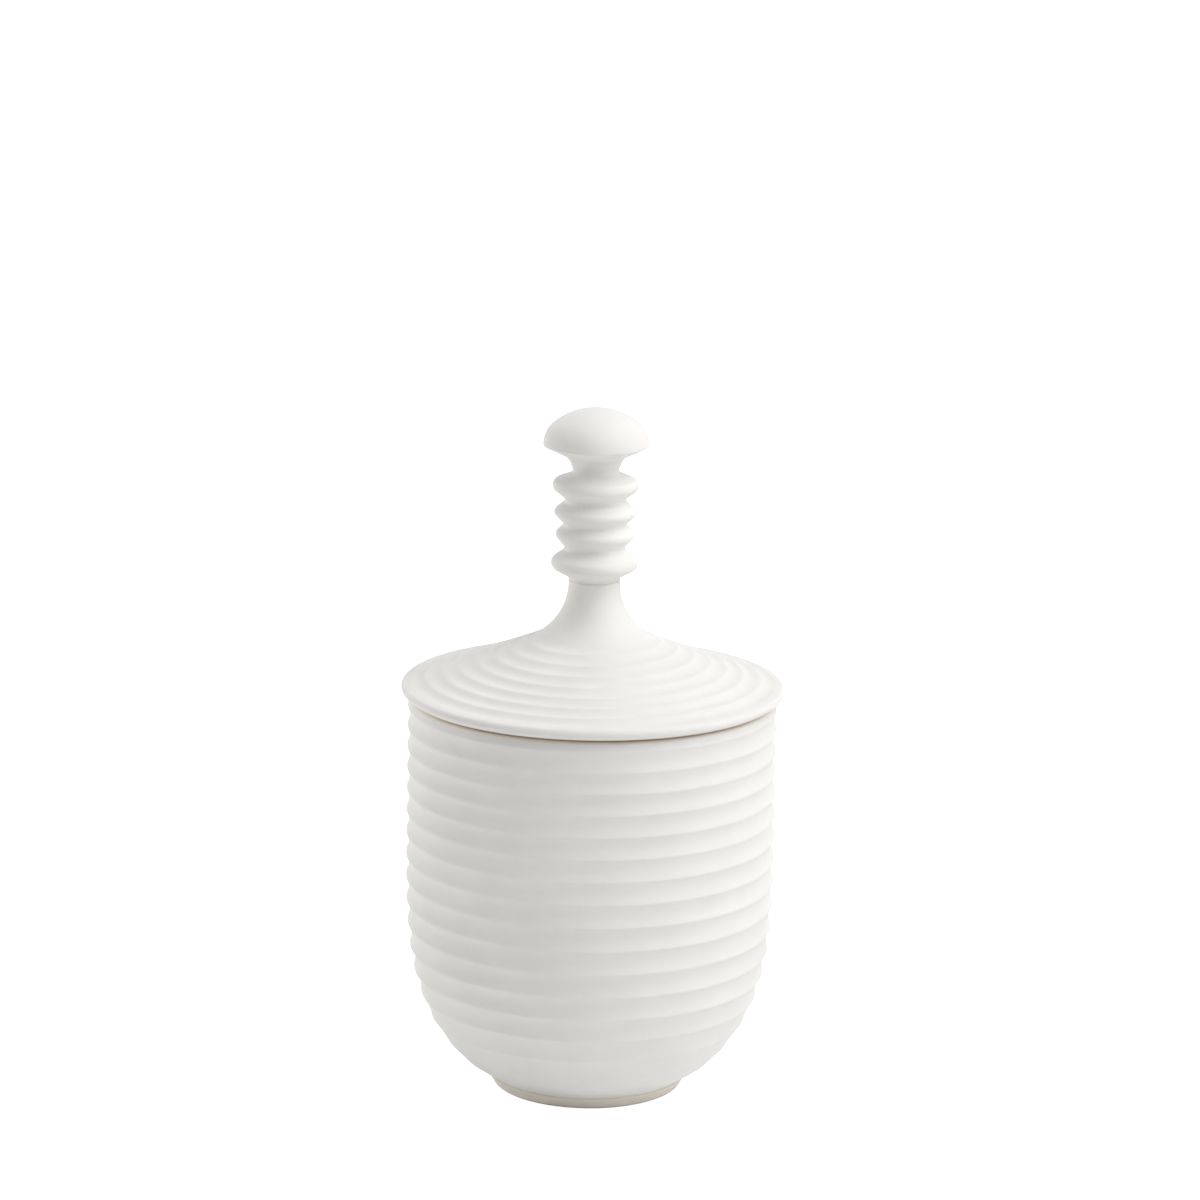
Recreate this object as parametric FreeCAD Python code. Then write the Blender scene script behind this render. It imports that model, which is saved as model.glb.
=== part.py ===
import FreeCAD, Part
import math
import os

# A lidded ceramic pyxis, turned about the vertical Z axis and standing on z = 0.
# Lengths are in millimetres, angles in degrees.

# Jar
jar_height = 159.0
belly_radius = 73.3
belly_height = 102.0
bowl_underrun = 5.6
bowl_power = 3.54
rim_lean = 0.4
jar_wall = 5.0
floor_thickness = 6.0
floor_flat_radius = 33.0
rim_inset = 0.9
rim_outer_round = 1.1
rim_inner_round = 1.0

# Throwing rings on the jar
rim_band = 3.9
rib_spacing = 8.2
rib_growth = 0.15
rib_spacing_limit = 9.6
rib_fade_height = 40.2
toe_height = 15.0
toe_ribs = 2

# Depth and rounding of a ring as shares of its height, and how much of the
# groove is one hollow arc.
rib_depth_share = 0.114
rib_round_share = 0.16
groove_fill_share = 0.94

# Foot
foot_height = 5.3
foot_top_radius = 40.6
foot_bottom_radius = 37.5
foot_wall = 6.5
foot_round = 0.8

# Lid
lid_radius = 75.6
lid_edge = 5.6
lid_edge_angle = 16.5
lid_join_angle = 24.0
lid_wall = 5.0
lip_inset = 2.1
lip_height = 0.35
lip_gap = 0.9
lip_round = 0.2
lip_notch = 0.2
roll_round = 1.9
roll_height = 3.5
roll_crest_inset = 3.0
seat_width = 2.8

# Ridges on the lid, from the roll at its edge to the one by the neck
lid_ribs = 8
neck_ridge_radius = 19.8
lid_rib_depth_share = 0.115
lid_rib_fade_share = 0.3
lid_rib_round_share = 0.36

# Neck that carries the finial
neck_radius = 10.2
neck_curve = 25.0
neck_rise = 1.2
ridge_ease = 0.02

# Locating flange under the lid
flange_clearance = 0.9
flange_wall = 4.2
flange_depth = 9.0
flange_round = 1.2
hollow_round = 2.5

# Finial: collars and mushroom cap
collar_radius = 17.2
stem_height = 43.8
waist_height = 1.0
cap_radius = 20.8
cap_skirt_height = 9.9
cap_skirt_curve = 5.1
cap_skirt_flare = 0.7
cap_edge_round = 0.6
cap_dome_height = 14.4
cap_shoulder_round = 10.9
cap_wall = 4.5
cap_hollow_drop = 1.6
cap_hollow_round = 1.6

# Each collar or groove of the stem: its radius as a share of collar_radius,
# its height above the neck and its rounding as shares of stem_height.
neck_corner_share = 0.014
stem_shares = (
    (1.000, 0.150, 0.068),
    (0.697, 0.286, 0.032),
    (0.903, 0.409, 0.049),
    (0.736, 0.501, 0.024),
    (0.938, 0.612, 0.046),
    (0.709, 0.724, 0.032),
    (0.986, 0.857, 0.064),
    (0.536, 1.000, 0.041),
)

# Thin coats of glaze inside
glaze = 0.4
bare_rim_height = 13.0

# Where the smooth inner curves are fixed, as shares of their height or width,
# and the turn below which a stretch of them is straight
nudge = 0.01
wall_shares = (1.0, 0.78, 0.55, 0.36, 0.22, 0.12, 0.05, 0.0)
hollow_shares = (0.0, 0.35, 0.7, 1.0)
straight_share = 0.0001

floor_top = foot_height + floor_thickness
seat_height = jar_height
rim_radius = belly_radius - rim_lean - rim_inset
mouth_radius = belly_radius - rim_lean - jar_wall
flange_outer_radius = mouth_radius - flange_clearance
flange_inner_radius = flange_outer_radius - flange_wall
foot_inner_radius = foot_bottom_radius - foot_wall
roll_crest_radius = lid_radius - roll_crest_inset
roll_crest_height = seat_height + lid_edge
edge_slope = math.tan(math.radians(lid_edge_angle))
join_slope = math.tan(math.radians(lid_join_angle))
neck_curve_radius = neck_radius + neck_curve
join_radius = neck_curve_radius - neck_curve * math.sin(math.radians(lid_join_angle))
join_run = roll_crest_radius - join_radius
join_height = roll_crest_height + join_run * (edge_slope + join_slope) / 2
neck_curve_height = join_height + neck_curve * math.cos(math.radians(lid_join_angle))
neck_top = neck_curve_height + neck_rise
bore_radius = neck_radius - lid_wall
cap_plane = neck_top + stem_height + cap_skirt_height


def at(radius, height):
    """A point of the half section, in the XZ plane."""
    return FreeCAD.Vector(radius, 0, height)


def line(start, end):
    return Part.LineSegment(start, end).toShape()


def arc(start, middle, end):
    return Part.Arc(start, middle, end).toShape()


def chain_headings(points, heading):
    """Unit headings at the points of a chain of tangent arcs."""
    headings = [heading]
    for start, end in zip(points, points[1:]):
        chord = end - start
        ahead = chord * (headings[-1].dot(chord) / chord.dot(chord))
        headings.append(ahead * 2 - headings[-1])
    return headings


def arc_chain(points, heading):
    """Tangent arcs through points, leaving the first along a unit heading."""
    edges = []
    for start, end, heading in zip(points, points[1:], chain_headings(points, heading)):
        chord = end - start
        ahead = chord * (heading.dot(chord) / chord.dot(chord))
        sideways = heading - ahead
        if sideways.Length > straight_share:
            middle = (start + end) / 2 + sideways * (chord.Length / (1 + ahead.Length) / 2)
            edges.append(arc(start, middle, end))
        else:
            edges.append(line(start, end))
    return edges


def rounded(corners):
    """Edges along corners (radius, height, rounding); rounding 0 stays sharp."""
    points = [at(radius, height) for radius, height, rounding in corners]
    edges = []
    reached = points[0]
    for before, corner, after, row in zip(points, points[1:], points[2:], corners[1:]):
        if row[2] == 0:
            edges.append(line(reached, corner))
            reached = corner
            continue
        back = (before - corner).normalize()
        ahead = (after - corner).normalize()
        half_turn = (math.pi - back.getAngle(ahead)) / 2
        room = min((before - corner).Length, (after - corner).Length) / 2
        reach = min(row[2] * math.tan(half_turn), room)
        start = corner + back * reach
        end = corner + ahead * reach
        inward = (back + ahead).normalize()
        to_centre = reach / math.sin(half_turn)
        middle = corner + inward * (to_centre - reach / math.tan(half_turn))
        if (start - reached).Length > nudge:
            edges.append(line(reached, start))
        edges.append(arc(start, middle, end))
        reached = end
    edges.append(line(reached, points[-1]))
    return edges


def belt(circles, last_normal=None):
    """Edges round circles (centre, rounding), with the clay on the left.

    A rounding above zero is a ridge, one below zero is a groove, and zero is a
    sharp point. The straight edges are the common tangents. With a last normal
    the belt ends on its last circle, where the surface faces that way.
    """
    normals = []
    for (here, near), (there, far) in zip(circles, circles[1:]):
        run = there - here
        lean = math.degrees(math.acos((near - far) / run.Length))
        turn = FreeCAD.Rotation(FreeCAD.Vector(0, 1, 0), lean)
        normals.append(turn.multVec(run).normalize())
    edges = []
    reached = circles[0][0] + normals[0] * circles[0][1]
    followers = normals[1:] + [last_normal or normals[-1]]
    for (centre, rounding), first, last in zip(circles[1:], normals, followers):
        start = centre + first * rounding
        end = centre + last * rounding
        edges.append(line(reached, start))
        if (end - start).Length > nudge:
            edges.append(arc(start, centre + (first + last).normalize() * rounding, end))
        reached = end
    return edges


def groove_circle(near, far, bottom, outward):
    """The widest groove through its bottom that clears the ridges beside it."""
    widest = []
    for centre, rounding in (near, far):
        across = bottom - centre
        depth = across.dot(outward)
        span = across.Length ** 2 - rounding ** 2
        widest.append(span / (2 * (rounding - depth)))
    rounding = min(widest) * groove_fill_share
    return bottom + outward * rounding, -rounding


def ribbed(ridges, rounds, depth_shares):
    """Circles for ridges through given points and for the grooves between."""
    chords = [far - near for near, far in zip(ridges, ridges[1:])]
    outwards = [at(chord.z, -chord.x).normalize() for chord in chords]
    before = [outwards[0]] + outwards
    after = outwards + [outwards[-1]]
    tops = []
    for ridge, rounding, back, ahead in zip(ridges, rounds, before, after):
        tops.append((ridge - (back + ahead).normalize() * rounding, rounding))
    circles = []
    for number, (ridge, chord, outward) in enumerate(zip(ridges, chords, outwards)):
        bottom = ridge + chord / 2 - outward * chord.Length * depth_shares[number]
        circles.append(tops[number])
        circles.append(groove_circle(tops[number], tops[number + 1], bottom, outward))
    return circles + [tops[-1]]


def turned(edges):
    """The solid that a closed half section sweeps about the Z axis."""
    wire = Part.Wire(Part.__sortEdges__(edges))
    return Part.Face(wire).revolve(at(0, 0), FreeCAD.Vector(0, 0, 1), 360)


def inset_point(outline, place, inset):
    """The point of an outline at a height, moved inwards along its normal."""
    radius = outline(place)
    slope = (outline(place + nudge) - outline(place - nudge)) / (2 * nudge)
    length = math.hypot(1, slope)
    return at(radius - inset / length, place + inset * slope / length)


def bowl_radius(height):
    """Radius over the ridges: a full bowl below the belly, nearly upright above."""
    if height > belly_height:
        rise = (height - belly_height) / (jar_height - belly_height)
        return belly_radius - rim_lean * rise
    drop = (belly_height - height) / (belly_height + bowl_underrun)
    return belly_radius * math.sqrt(1 - drop ** bowl_power)


def ridge_heights():
    """Heights of the ridges above the foot, from the top one down."""
    heights = [jar_height - rim_band]
    spacing = rib_spacing
    while heights[-1] - foot_height > toe_height:
        heights.append(heights[-1] - spacing)
        spacing = min(spacing + rib_growth, rib_spacing_limit)
    toe = heights[-1] - foot_height
    for number in range(1, toe_ribs):
        heights.append(heights[-1] - toe / toe_ribs)
    return heights


def inner_wall(top, coat=0):
    """The jar's inside, or the face of a coat on it, from a height to the floor."""
    lowest = floor_top + jar_wall / 2
    points = []
    for share in wall_shares:
        height = lowest + (top - lowest) * share
        points.append(inset_point(bowl_radius, height, jar_wall))
    points[0] = at(mouth_radius, top)
    points.append(at(floor_flat_radius, floor_top))
    down = (points[1] - points[0]).normalize()
    headings = chain_headings(points, down)
    face = [point + at(way.z, -way.x) * coat for point, way in zip(points, headings)]
    return face, arc_chain(face, down)


def jar_body():
    """The thrown body: ribbed outside, smooth inside, flat land on the rim."""
    ridges = [at(bowl_radius(height), height) for height in reversed(ridge_heights())]
    toe = at(foot_top_radius, foot_height)
    rounds = [0] + [rib_spacing * rib_round_share] * len(ridges)
    depth_shares = []
    for below, above in zip([toe] + ridges, ridges):
        rise = (below.z + above.z) / 2 - foot_height
        depth_shares.append(rib_depth_share * min(1, rise / rib_fade_height) ** 2)
    outline = ribbed([toe] + ridges, rounds, depth_shares)
    rim_edge = at(rim_radius - rim_outer_round, jar_height - rim_outer_round)
    mouth_edge = at(mouth_radius + rim_inner_round, jar_height - rim_inner_round)
    outline += [(rim_edge, rim_outer_round), (mouth_edge, rim_inner_round)]
    inside, inside_edges = inner_wall(jar_height - bare_rim_height)
    outline.append((inside[0], 0))
    edges = belt(outline) + inside_edges
    edges.append(line(inside[-1], at(0, floor_top)))
    edges.append(line(at(0, floor_top), at(0, foot_height)))
    edges.append(line(at(0, foot_height), toe))
    return turned(edges)


def jar_glaze_lining():
    """The clear glaze on the jar's inside, up to the bare band at the mouth."""
    top = jar_height - bare_rim_height
    clay, clay_edges = inner_wall(top)
    face, face_edges = inner_wall(top, glaze)
    edges = clay_edges + face_edges
    edges.append(line(clay[0], face[0]))
    edges.append(line(face[-1], at(0, face[-1].z)))
    edges.append(line(at(0, face[-1].z), at(0, floor_top)))
    edges.append(line(at(0, floor_top), clay[-1]))
    return turned(edges)


def foot_ring():
    """The bare ring that the jar stands on, narrower at the bottom."""
    corners = [
        (foot_top_radius, foot_height, 0),
        (foot_bottom_radius, 0, foot_round),
        (foot_inner_radius, 0, foot_round),
        (foot_inner_radius, foot_height, 0),
    ]
    closing = line(at(foot_inner_radius, foot_height), at(foot_top_radius, foot_height))
    return turned(rounded(corners) + [closing])


def lid_crown(radius):
    """Height over the lid's ridges: a hollowed cone that runs into the neck."""
    if radius > join_radius:
        run = roll_crest_radius - radius
        bend = (join_slope - edge_slope) / (2 * join_run)
        return roll_crest_height + edge_slope * run + bend * run ** 2
    side = neck_curve_radius - radius
    return neck_curve_height - math.sqrt(neck_curve ** 2 - side ** 2)


def crown_point(radius, inset):
    """A point of the crown, moved down into the clay along its normal."""
    slope = (lid_crown(radius + nudge) - lid_crown(radius - nudge)) / (2 * nudge)
    length = math.hypot(1, slope)
    return at(radius + inset * slope / length, lid_crown(radius) - inset / length)


def neck_point(radius, inset):
    """A point of the neck's hollow curve, moved into the clay from its centre."""
    angle = math.asin(min(1, (neck_curve_radius - radius) / neck_curve))
    reach = neck_curve + inset
    centre = at(neck_curve_radius, neck_curve_height)
    return centre - at(reach * math.sin(angle), reach * math.cos(angle))


def lid_hollow(inset):
    """Edges of the lid's underside within the flange, out to in and up the neck."""
    first_radius = flange_inner_radius - hollow_round * 2
    points = []
    for share in hollow_shares:
        radius = first_radius + (join_radius - first_radius) * share
        points.append(crown_point(radius, inset))
    points[-1] = neck_point(join_radius, inset)
    run = at(nudge, lid_crown(first_radius - nudge) - lid_crown(first_radius))
    inwards = at(-run.x, run.z).normalize()
    middle = neck_point((join_radius + neck_radius) / 2, inset)
    end = neck_point(neck_radius, inset)
    top = at(end.x, neck_top)
    edges = arc_chain(points, inwards)
    edges += [arc(points[-1], middle, end), line(end, top)]
    return points, edges, top


def lid_plate():
    """The ribbed lid with its rolled edge, its lip and the hollow neck."""
    lip_bottom = seat_height + lip_gap
    seat_radius = mouth_radius + seat_width
    lip_radius = lid_radius - lip_inset
    outline = [
        (at(flange_inner_radius, seat_height), 0),
        (at(seat_radius, seat_height), 0),
        (at(seat_radius, lip_bottom), 0),
        (at(lip_radius - lip_round, lip_bottom + lip_round), lip_round),
        (at(lip_radius + lip_notch, lip_bottom + lip_height), -lip_notch),
        (at(lid_radius - roll_round, seat_height + roll_height), roll_round),
    ]
    spacing = (roll_crest_radius - neck_ridge_radius) / lid_ribs
    ridges = []
    depth_shares = []
    for number in range(lid_ribs + 1):
        ridges.append(crown_point(roll_crest_radius - spacing * number, 0))
        fade = 1 - lid_rib_fade_share * number / lid_ribs
        depth_shares.append(lid_rib_depth_share * fade)
    ridge_round = spacing * lid_rib_round_share
    outline += ribbed(ridges, [ridge_round] * len(ridges), depth_shares)
    outline[-1] = (neck_point(neck_ridge_radius, ridge_round + ridge_ease), ridge_round)
    outline.append((at(neck_curve_radius, neck_curve_height), -neck_curve))
    outline.append((at(neck_radius, neck_top), 0))
    hollow, hollow_edges, bore_top = lid_hollow(lid_wall)
    outer_slope = (hollow[0].z - hollow[1].z) / (hollow[0].x - hollow[1].x)
    corner_height = hollow[0].z + outer_slope * (flange_inner_radius - hollow[0].x)
    shoulder = [
        (flange_inner_radius, seat_height, 0),
        (flange_inner_radius, corner_height, hollow_round),
        (hollow[0].x, hollow[0].z, 0),
    ]
    edges = belt(outline) + rounded(shoulder) + hollow_edges
    edges.append(line(bore_top, at(neck_radius, neck_top)))
    return turned(edges)


def lid_glaze_lining():
    """The clear glaze on the lid's underside and up inside the neck."""
    clay, clay_edges, clay_top = lid_hollow(lid_wall)
    face, face_edges, face_top = lid_hollow(lid_wall + glaze)
    closing = [line(clay[0], face[0]), line(clay_top, face_top)]
    return turned(clay_edges + face_edges + closing)


def lid_flange():
    """The ring under the lid that keeps it centred in the jar's mouth."""
    bottom = seat_height - flange_depth
    corners = [
        (flange_outer_radius, seat_height, 0),
        (flange_outer_radius, bottom, flange_round),
        (flange_inner_radius, bottom, flange_round),
        (flange_inner_radius, seat_height, 0),
    ]
    closing = line(at(flange_inner_radius, seat_height), at(flange_outer_radius, seat_height))
    return turned(rounded(corners) + [closing])


def dome(radius, plane, rise, shoulder):
    """A dome's half outline: a tight shoulder arc, then a wide crown arc."""
    shoulder_centre = at(radius - shoulder, plane)
    reach = (radius - shoulder) ** 2 + rise ** 2 - shoulder ** 2
    crown = reach / (2 * (rise - shoulder))
    crown_centre = at(0, plane + rise - crown)
    side = FreeCAD.Vector(1, 0, 0)
    meeting = (shoulder_centre - crown_centre).normalize()
    up = FreeCAD.Vector(0, 0, 1)
    joint = shoulder_centre + meeting * shoulder
    shoulder_middle = shoulder_centre + (side + meeting).normalize() * shoulder
    crown_middle = crown_centre + (meeting + up).normalize() * crown
    top = at(0, plane + rise)
    edges = [arc(at(radius, plane), shoulder_middle, joint), arc(joint, crown_middle, top)]
    return edges, top


def finial():
    """Four collars and a mushroom cap, hollow and open down into the neck."""
    corner_round = stem_height * neck_corner_share
    outline = [
        (at(neck_radius, neck_top), 0),
        (at(neck_radius + corner_round, neck_top + corner_round), -corner_round),
    ]
    side = 1
    for radius_share, height_share, round_share in stem_shares:
        rounding = stem_height * round_share * side
        centre_radius = collar_radius * radius_share - rounding
        outline.append((at(centre_radius, neck_top + stem_height * height_share), rounding))
        side = -side
    waist_radius = collar_radius * stem_shares[-1][0]
    skirt_height = neck_top + stem_height + waist_height
    skirt_radius = waist_radius + cap_skirt_flare + cap_skirt_curve
    outline.append((at(skirt_radius, skirt_height), -cap_skirt_curve))
    outline.append((at(cap_radius - cap_edge_round, cap_plane), cap_edge_round))
    outer, top = dome(cap_radius, cap_plane, cap_dome_height, cap_shoulder_round)
    hollow_radius = cap_radius - cap_wall * 2
    hollow_plane = cap_plane + cap_hollow_drop
    hollow_rise = cap_dome_height - cap_wall - cap_hollow_drop
    shoulder = cap_shoulder_round - cap_wall
    inner, inner_top = dome(hollow_radius, hollow_plane, hollow_rise, shoulder)
    bore = [
        (bore_radius, neck_top, 0),
        (bore_radius, cap_plane - cap_hollow_drop, cap_hollow_round),
        (hollow_radius, hollow_plane, 0),
    ]
    edges = belt(outline, FreeCAD.Vector(1, 0, 0)) + rounded(bore) + outer + inner
    edges.append(line(inner_top, top))
    edges.append(line(at(bore_radius, neck_top), at(neck_radius, neck_top)))
    return turned(edges)


def build():
    os.makedirs("parts", exist_ok=True)
    pieces = (jar_body, jar_glaze_lining, foot_ring, lid_plate, lid_glaze_lining, lid_flange, finial)
    for piece in pieces:
        shape = piece()
        shape.exportStep(f"parts/{piece.__name__}.step")
        print(piece.__name__, shape.ShapeType, shape.isValid(), round(shape.Volume))


build()
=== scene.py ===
import math

import bmesh
import bpy
from mathutils import Euler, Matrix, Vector


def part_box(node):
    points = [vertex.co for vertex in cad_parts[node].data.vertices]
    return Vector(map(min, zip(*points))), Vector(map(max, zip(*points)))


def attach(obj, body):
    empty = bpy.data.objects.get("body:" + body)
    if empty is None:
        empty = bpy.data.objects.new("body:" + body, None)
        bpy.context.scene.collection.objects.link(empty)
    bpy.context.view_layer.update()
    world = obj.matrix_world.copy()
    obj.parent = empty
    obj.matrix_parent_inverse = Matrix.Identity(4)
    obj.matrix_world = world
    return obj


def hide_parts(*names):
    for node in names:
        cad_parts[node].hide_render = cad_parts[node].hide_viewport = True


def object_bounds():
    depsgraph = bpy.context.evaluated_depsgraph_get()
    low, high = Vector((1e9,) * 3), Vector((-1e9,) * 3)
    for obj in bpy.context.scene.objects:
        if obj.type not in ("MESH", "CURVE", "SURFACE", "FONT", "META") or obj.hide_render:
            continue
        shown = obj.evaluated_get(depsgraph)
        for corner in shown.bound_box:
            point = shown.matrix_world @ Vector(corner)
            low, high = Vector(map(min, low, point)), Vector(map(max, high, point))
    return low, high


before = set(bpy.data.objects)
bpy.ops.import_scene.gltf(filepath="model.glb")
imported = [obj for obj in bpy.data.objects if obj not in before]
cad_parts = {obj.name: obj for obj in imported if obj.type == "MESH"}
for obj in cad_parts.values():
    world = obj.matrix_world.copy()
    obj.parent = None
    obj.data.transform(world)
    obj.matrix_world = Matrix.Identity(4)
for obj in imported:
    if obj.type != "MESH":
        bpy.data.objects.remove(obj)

cad_low, cad_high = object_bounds()
jar_low, jar_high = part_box("jar_body")
foot_low, foot_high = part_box("foot_ring")
lid_low, lid_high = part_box("lid_plate")

# Where the photograph was taken from, in metres and degrees
CAMERA_DISTANCE = 1.694
CAMERA_HEIGHT = 0.594
CAMERA_PITCH = 13.17
CAMERA_YAW = -0.08
CAMERA_ROLL = 0.90
CAMERA_FIELD = 15.44
CAMERA_REACH = 50.0

# How finely the turned pieces are made
QUARTER_STEPS = 80
MERGE = 1e-6
AXIS_REACH = 1e-5

# Light and dark tones of each clay, and of the clay seen through the glaze
WHITE = ((0.85, 0.84, 0.815), (0.82, 0.81, 0.785))
BEIGE = ((0.90, 0.85, 0.76), (0.85, 0.80, 0.71))
SEAT = ((0.80, 0.76, 0.70), (0.74, 0.69, 0.62))
GLAZED = ((0.82, 0.81, 0.78), (0.78, 0.77, 0.73))
RAW_CLAY = (0.78, 0.72, 0.64)
# Painted shade: a dark brown laid where the gap between lid and jar and the foot's sole on the
# floor fall in shadow
SEAM_PAINTED_SHADE = (0.56, 0.48, 0.40)

# Where a tone starts and where it is full, in metres above the edge it belongs to; the seam
# tones are painted shade
RIM_RAW = (-0.0014, -0.0006)
# Painted shade of the gap, on the top of the jar's rim under the lid
RIM_PAINTED_SHADE = (-0.0003, -0.00005)
LID_RAW = (0.0015, 0.0011)
# Painted shade of the gap, on the lid's lip just above its lower edge
LID_PAINTED_SHADE = (0.00105, 0.00095)
TOE_BEIGE = (0.0025, -0.0005)
# Painted shade along the foot's sole, where it meets the floor
SOLE_PAINTED_SHADE = (0.0012, 0.0)

# Clay texture: noise sizes are counts in a metre
MOTTLE_SIZE = 38.0
MOTTLE_SPREAD = (0.35, 0.65)
GRAIN_SPREAD = (0.3, 0.7)
GRAIN_HEIGHT_SHARE = 0.5
MARK_SIZES = (4.0, 4.0, 420.0)

# Socket numbers of a colour mix: its share, its first and second colour, and its result
MIX_SHARE, MIX_FIRST, MIX_SECOND, MIX_RESULT = 0, 6, 7, 2

# Surfaces: noise size of the grain, roughness from and to, bump strength and depth
BARE_SURFACE = (2600.0, (0.55, 0.75), 0.5, 0.00008)
BARE_SPECULAR = 0.3
GLAZE_SURFACE = (300.0, (0.08, 0.16), 0.15, 0.0001)
GLAZE_COAT = 0.6
GLAZE_COAT_ROUGHNESS = 0.04

# Studio: the floor, and the light from all round
FLOOR_REACH = 6.0
FLOOR_COLOUR = (0.92, 0.92, 0.92, 1.0)
FLOOR_ROUGHNESS = 0.9
FLOOR_GLOW = 0.76
PURE_WHITE = (1.0, 1.0, 1.0, 1.0)
SURROUNDINGS = 0.25

# Lamps: azimuth and elevation in degrees, then distance, width and height in metres,
# then power in watts; azimuth 0 is the camera's side
SOFT_BOXES = {
    "key_right": (75, 45, 1.6, 1.4, 1.4, 7.0),
    "key_front_right": (60, 55, 1.6, 1.4, 1.4, 14.0),
    "low_right": (60, 10, 1.6, 1.4, 1.0, 2.5),
    "fill_left": (-80, 15, 1.6, 1.2, 1.2, 3.5),
    "fill_left_back": (-120, 10, 1.6, 1.2, 1.2, 8.5),
    "high_back": (180, 60, 1.8, 1.6, 1.6, 5.5),
}


# Shader helpers

def new_material(name):
    material = bpy.data.materials.new(name)
    material.use_nodes = True
    tree = material.node_tree
    shader = tree.nodes["Principled BSDF"]
    return material, tree, shader


def node_in(tree, kind, **settings):
    node = tree.nodes.new(kind)
    for key, value in settings.items():
        setattr(node, key, value)
    return node


def noise_in(tree, place, detail, roughness):
    """Noise at the places that an output gives."""
    noise = node_in(tree, "ShaderNodeTexNoise")
    noise.inputs["Detail"].default_value = detail
    noise.inputs["Roughness"].default_value = roughness
    tree.links.new(place, noise.inputs["Vector"])
    return noise


def spread_in(tree, value, low, high, **settings):
    """A value stretched so that low gives 0 and high gives 1."""
    spread = node_in(tree, "ShaderNodeMapRange", **settings)
    spread.inputs["From Min"].default_value = low
    spread.inputs["From Max"].default_value = high
    tree.links.new(value, spread.inputs["Value"])
    return spread


def clay_grain():
    """Fine grain, turning marks and pale mottling of a bare fired clay."""
    group = bpy.data.node_groups.new("Clay grain", "ShaderNodeTree")
    face = group.interface
    face.new_socket("Light clay", in_out="INPUT", socket_type="NodeSocketColor")
    face.new_socket("Dark clay", in_out="INPUT", socket_type="NodeSocketColor")
    face.new_socket("Grain size", in_out="INPUT", socket_type="NodeSocketFloat")
    face.new_socket("Rough low", in_out="INPUT", socket_type="NodeSocketFloat")
    face.new_socket("Rough high", in_out="INPUT", socket_type="NodeSocketFloat")
    face.new_socket("Colour", in_out="OUTPUT", socket_type="NodeSocketColor")
    face.new_socket("Roughness", in_out="OUTPUT", socket_type="NodeSocketFloat")
    face.new_socket("Height", in_out="OUTPUT", socket_type="NodeSocketFloat")
    start = group.nodes.new("NodeGroupInput")
    end = group.nodes.new("NodeGroupOutput")
    link = group.links.new
    place = node_in(group, "ShaderNodeTexCoord").outputs["Object"]

    mottle = noise_in(group, place, detail=4.0, roughness=0.6)
    mottle.inputs["Scale"].default_value = MOTTLE_SIZE
    shade = node_in(group, "ShaderNodeMix", data_type="RGBA")
    spread = spread_in(group, mottle.outputs["Fac"], *MOTTLE_SPREAD)
    link(spread.outputs["Result"], shade.inputs[MIX_SHARE])
    link(start.outputs["Dark clay"], shade.inputs[MIX_FIRST])
    link(start.outputs["Light clay"], shade.inputs[MIX_SECOND])
    link(shade.outputs[MIX_RESULT], end.inputs["Colour"])

    grain = noise_in(group, place, detail=3.0, roughness=0.7)
    link(start.outputs["Grain size"], grain.inputs["Scale"])
    rough = spread_in(group, grain.outputs["Fac"], *GRAIN_SPREAD)
    link(start.outputs["Rough low"], rough.inputs["To Min"])
    link(start.outputs["Rough high"], rough.inputs["To Max"])
    link(rough.outputs["Result"], end.inputs["Roughness"])

    # Marks that run round the piece: noise squeezed along the axis
    squeeze = node_in(group, "ShaderNodeMapping")
    squeeze.inputs["Scale"].default_value = MARK_SIZES
    link(place, squeeze.inputs["Vector"])
    marks = noise_in(group, squeeze.outputs["Vector"], detail=5.0, roughness=0.65)
    marks.inputs["Scale"].default_value = 1.0
    both = node_in(group, "ShaderNodeMath", operation="MULTIPLY_ADD")
    both.inputs[1].default_value = GRAIN_HEIGHT_SHARE
    link(grain.outputs["Fac"], both.inputs[0])
    link(marks.outputs["Fac"], both.inputs[2])
    link(both.outputs["Value"], end.inputs["Height"])
    return group


GRAIN = clay_grain()


def tint_by_height(tree, colour, tint, edge, start, full):
    """Mix a tint into the colour between two heights above an edge of the object."""
    link = tree.links.new
    place = node_in(tree, "ShaderNodeTexCoord")
    parts = node_in(tree, "ShaderNodeSeparateXYZ")
    link(place.outputs["Object"], parts.inputs["Vector"])
    share = spread_in(
        tree, parts.outputs["Z"], edge + start, edge + full, interpolation_type="SMOOTHSTEP"
    )
    shade = node_in(tree, "ShaderNodeMix", data_type="RGBA")
    shade.inputs[MIX_SECOND].default_value = (*tint, 1.0)
    link(share.outputs["Result"], shade.inputs[MIX_SHARE])
    link(colour, shade.inputs[MIX_FIRST])
    return shade.outputs[MIX_RESULT]


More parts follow.
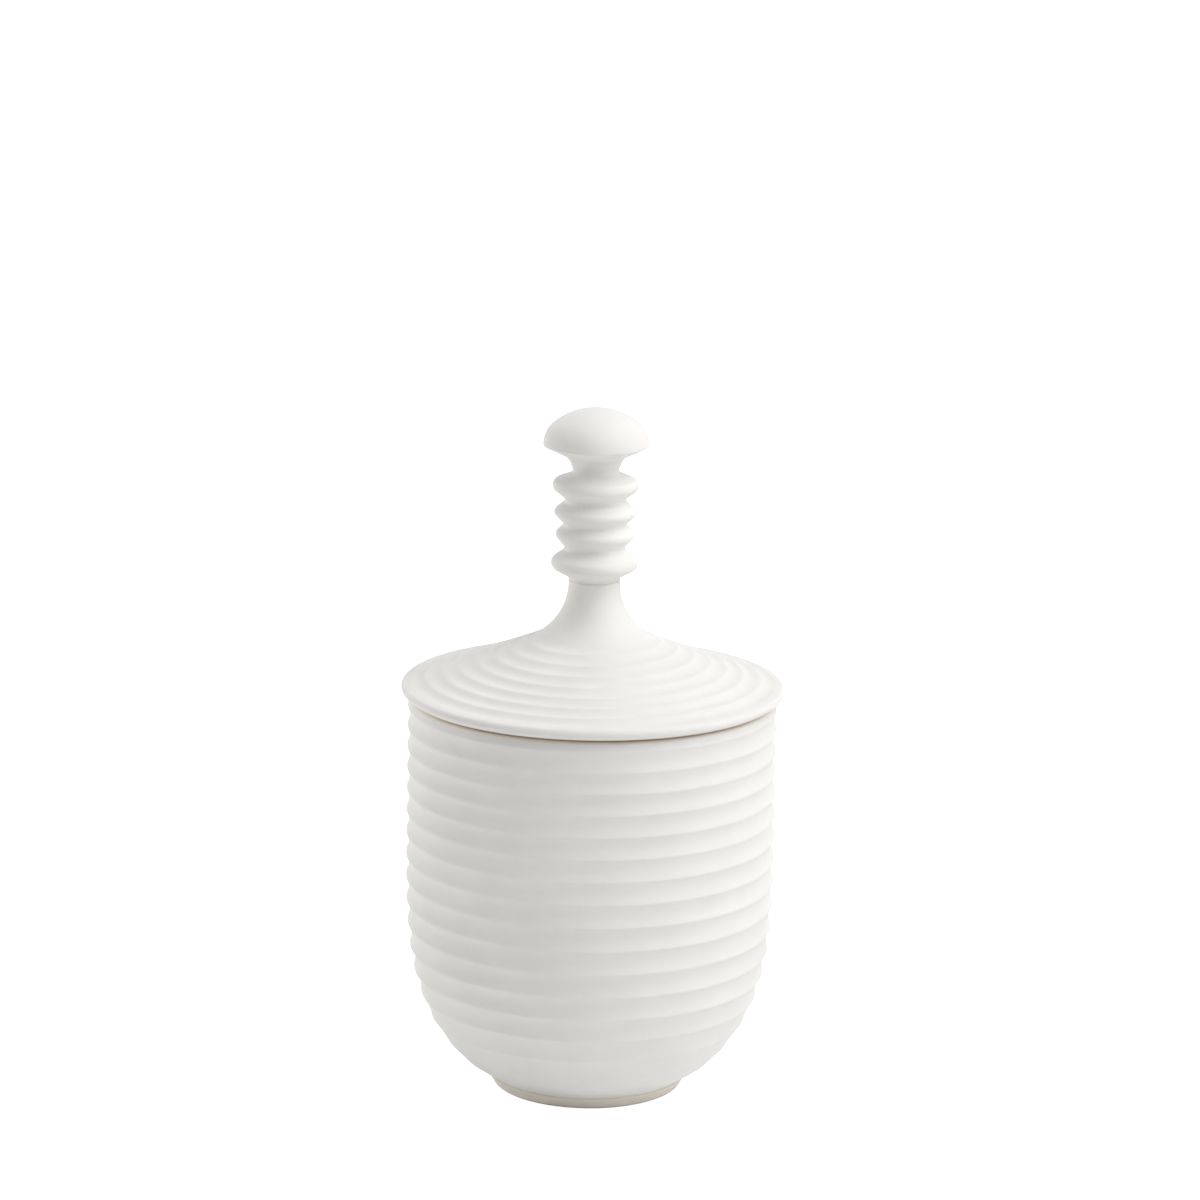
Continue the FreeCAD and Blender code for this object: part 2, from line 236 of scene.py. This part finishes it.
def clay_surface(name, tones, surface, tints=()):
    """Grainy clay in a light and a dark tone, with other tones between some heights."""
    light, dark = tones
    grain_size, roughness, bump, depth = surface
    material, tree, shader = new_material(name)
    grain = node_in(tree, "ShaderNodeGroup", node_tree=GRAIN)
    grain.inputs["Light clay"].default_value = (*light, 1.0)
    grain.inputs["Dark clay"].default_value = (*dark, 1.0)
    grain.inputs["Grain size"].default_value = grain_size
    grain.inputs["Rough low"].default_value = roughness[0]
    grain.inputs["Rough high"].default_value = roughness[1]
    raised = node_in(tree, "ShaderNodeBump")
    raised.inputs["Strength"].default_value = bump
    raised.inputs["Distance"].default_value = depth
    colour = grain.outputs["Colour"]
    for tint, edge, heights in tints:
        colour = tint_by_height(tree, colour, tint, edge, *heights)
    link = tree.links.new
    link(colour, shader.inputs["Base Color"])
    link(grain.outputs["Roughness"], shader.inputs["Roughness"])
    link(grain.outputs["Height"], raised.inputs["Height"])
    link(raised.outputs["Normal"], shader.inputs["Normal"])
    return material, shader


def bare_clay(name, tones, tints=()):
    """Matte fired clay with faint turning marks."""
    material, shader = clay_surface(name, tones, BARE_SURFACE, tints)
    shader.inputs["Specular IOR Level"].default_value = BARE_SPECULAR
    return material


def clear_glaze(name, tones):
    """A glossy glaze over the same clay, mottled where it lies thicker."""
    material, shader = clay_surface(name, tones, GLAZE_SURFACE)
    shader.inputs["Coat Weight"].default_value = GLAZE_COAT
    shader.inputs["Coat Roughness"].default_value = GLAZE_COAT_ROUGHNESS
    return material


# Bare clay tones at the rim and toe, and painted shade in the gap under the lid
JAR_TINTS = (
    (RAW_CLAY, jar_high.z, RIM_RAW),
    (SEAM_PAINTED_SHADE, jar_high.z, RIM_PAINTED_SHADE),
    (BEIGE[0], foot_high.z, TOE_BEIGE),
)
# Bare clay on the lid's lip, and painted shade in the gap above the jar's rim
LID_TINTS = (
    (RAW_CLAY, lid_low.z, LID_RAW),
    (SEAM_PAINTED_SHADE, lid_low.z, LID_PAINTED_SHADE),
)
# Painted shade along the foot's sole, where it meets the floor
FOOT_PAINTED_SHADE = ((SEAM_PAINTED_SHADE, foot_low.z, SOLE_PAINTED_SHADE),)
JAR_CLAY = bare_clay("White jar clay", WHITE, JAR_TINTS)
LID_CLAY = bare_clay("White lid clay", WHITE, LID_TINTS)
FINIAL_CLAY = bare_clay("White finial clay", WHITE)
FOOT_CLAY = bare_clay("Bare beige foot", BEIGE, FOOT_PAINTED_SHADE)
SEAT_CLAY = bare_clay("Bare seat clay", SEAT)
GLAZE = clear_glaze("Clear glaze", GLAZED)


# Turned pieces

def half_section(node):
    """A bmesh with only the outline of a node on the +X side of its XZ plane."""
    bm = bmesh.new()
    bm.from_mesh(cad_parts[node].data)
    bmesh.ops.remove_doubles(bm, verts=bm.verts, dist=MERGE)
    whole = bm.verts[:] + bm.edges[:] + bm.faces[:]
    bmesh.ops.bisect_plane(
        bm, geom=whole, dist=MERGE, plane_no=(0, 1, 0), clear_inner=True, clear_outer=True
    )
    cut = bm.verts[:] + bm.edges[:]
    bmesh.ops.bisect_plane(bm, geom=cut, dist=AXIS_REACH, plane_no=(1, 0, 0), clear_inner=True)
    return bm


def turned_piece(name, node, body, material):
    """The node's outline turned a quarter round in fine steps and mirrored whole."""
    bm = half_section(node)
    outline = bm.verts[:] + bm.edges[:]
    bmesh.ops.spin(
        bm, geom=outline, cent=(0, 0, 0), axis=(0, 0, 1), angle=math.tau / 4,
        steps=QUARTER_STEPS,
    )
    for axis in "XY":
        whole = bm.verts[:] + bm.edges[:] + bm.faces[:]
        bmesh.ops.mirror(bm, geom=whole, axis=axis, merge_dist=MERGE)
    bmesh.ops.remove_doubles(bm, verts=bm.verts, dist=MERGE)
    bmesh.ops.recalc_face_normals(bm, faces=bm.faces)
    for face in bm.faces:
        face.smooth = True
    mesh = bpy.data.meshes.new(name)
    bm.to_mesh(mesh)
    bm.free()
    mesh.materials.append(material)
    piece = bpy.data.objects.new(name, mesh)
    bpy.context.scene.collection.objects.link(piece)
    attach(piece, body)
    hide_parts(node)
    return piece


turned_piece("ribbed_jar", "jar_body", "jar", JAR_CLAY)
turned_piece("bare_foot", "foot_ring", "jar", FOOT_CLAY)
turned_piece("jar_glaze", "jar_glaze_lining", "jar", GLAZE)
turned_piece("ribbed_lid", "lid_plate", "lid", LID_CLAY)
turned_piece("lid_glaze", "lid_glaze_lining", "lid", GLAZE)
turned_piece("seat_flange", "lid_flange", "lid", SEAT_CLAY)
turned_piece("turned_finial", "finial", "lid", FINIAL_CLAY)


# Floor, light and camera

def seen_by_eye(tree):
    """1 where the camera looks, straight or by a shine or through glass, and else 0."""
    rays = node_in(tree, "ShaderNodeLightPath")
    straight = node_in(tree, "ShaderNodeMath", operation="MAXIMUM")
    seen = node_in(tree, "ShaderNodeMath", operation="MAXIMUM")
    link = tree.links.new
    link(rays.outputs["Is Camera Ray"], straight.inputs[0])
    link(rays.outputs["Is Glossy Ray"], straight.inputs[1])
    link(straight.outputs["Value"], seen.inputs[0])
    link(rays.outputs["Is Transmission Ray"], seen.inputs[1])
    return seen.outputs["Value"]


def studio_floor():
    """A pale floor that is white to the camera and still takes the shadow."""
    bm = bmesh.new()
    bmesh.ops.create_grid(bm, x_segments=1, y_segments=1, size=FLOOR_REACH)
    mesh = bpy.data.meshes.new("studio_floor")
    bm.to_mesh(mesh)
    bm.free()
    floor = bpy.data.objects.new("studio_floor", mesh)
    bpy.context.scene.collection.objects.link(floor)
    material, tree, shader = new_material("White floor")
    shader.inputs["Base Color"].default_value = FLOOR_COLOUR
    shader.inputs["Roughness"].default_value = FLOOR_ROUGHNESS
    none = node_in(tree, "ShaderNodeEmission")
    none.inputs["Strength"].default_value = 0.0
    glow = node_in(tree, "ShaderNodeEmission")
    glow.inputs["Color"].default_value = PURE_WHITE
    glow.inputs["Strength"].default_value = FLOOR_GLOW
    pick = node_in(tree, "ShaderNodeMixShader")
    both = node_in(tree, "ShaderNodeAddShader")
    link = tree.links.new
    link(seen_by_eye(tree), pick.inputs[0])
    link(none.outputs["Emission"], pick.inputs[1])
    link(glow.outputs["Emission"], pick.inputs[2])
    link(shader.outputs["BSDF"], both.inputs[0])
    link(pick.outputs["Shader"], both.inputs[1])
    link(both.outputs["Shader"], tree.nodes["Material Output"].inputs["Surface"])
    mesh.materials.append(material)
    return floor


def white_surroundings(strength):
    """Even light from all round, seen as white where nothing is in the way."""
    world = bpy.data.worlds.new("White surroundings")
    world.use_nodes = True
    bpy.context.scene.world = world
    tree = world.node_tree
    level = node_in(tree, "ShaderNodeMapRange")
    level.inputs["To Min"].default_value = strength
    level.inputs["To Max"].default_value = 1.0
    back = tree.nodes["Background"]
    back.inputs["Color"].default_value = PURE_WHITE
    tree.links.new(seen_by_eye(tree), level.inputs["Value"])
    tree.links.new(level.outputs["Result"], back.inputs["Strength"])


def soft_box(name, azimuth, elevation, distance, width, height, power):
    """An area lamp that faces the middle of the pyxis."""
    middle = Vector((0, 0, (cad_low.z + cad_high.z) / 2))
    turn, lift = math.radians(azimuth), math.radians(elevation)
    level = math.cos(lift)
    away = Vector((math.sin(turn) * level, -math.cos(turn) * level, math.sin(lift)))
    lamp = bpy.data.lights.new(name, "AREA")
    lamp.shape = "RECTANGLE"
    lamp.size = width
    lamp.size_y = height
    lamp.energy = power
    holder = bpy.data.objects.new(name, lamp)
    holder.location = middle + away * distance
    holder.rotation_euler = away.to_track_quat("Z", "Y").to_euler()
    bpy.context.scene.collection.objects.link(holder)
    return holder


def photo_camera():
    """The camera that the photograph's outline was fitted with."""
    lens = bpy.data.cameras.new("photo_camera")
    lens.sensor_fit = "HORIZONTAL"
    lens.angle = math.radians(CAMERA_FIELD)
    lens.clip_end = CAMERA_REACH
    camera = bpy.data.objects.new("photo_camera", lens)
    tilt = Euler((math.radians(90 - CAMERA_PITCH), 0, math.radians(CAMERA_YAW))).to_quaternion()
    roll = Euler((0, 0, math.radians(CAMERA_ROLL))).to_quaternion()
    camera.rotation_mode = "QUATERNION"
    camera.rotation_quaternion = tilt @ roll
    camera.location = (0, -CAMERA_DISTANCE, CAMERA_HEIGHT)
    bpy.context.scene.collection.objects.link(camera)
    bpy.context.scene.camera = camera


studio_floor()
white_surroundings(SURROUNDINGS)
for lamp_name, lamp_place in SOFT_BOXES.items():
    soft_box(lamp_name, *lamp_place)
photo_camera()
bpy.context.scene.view_settings.view_transform = "Standard"
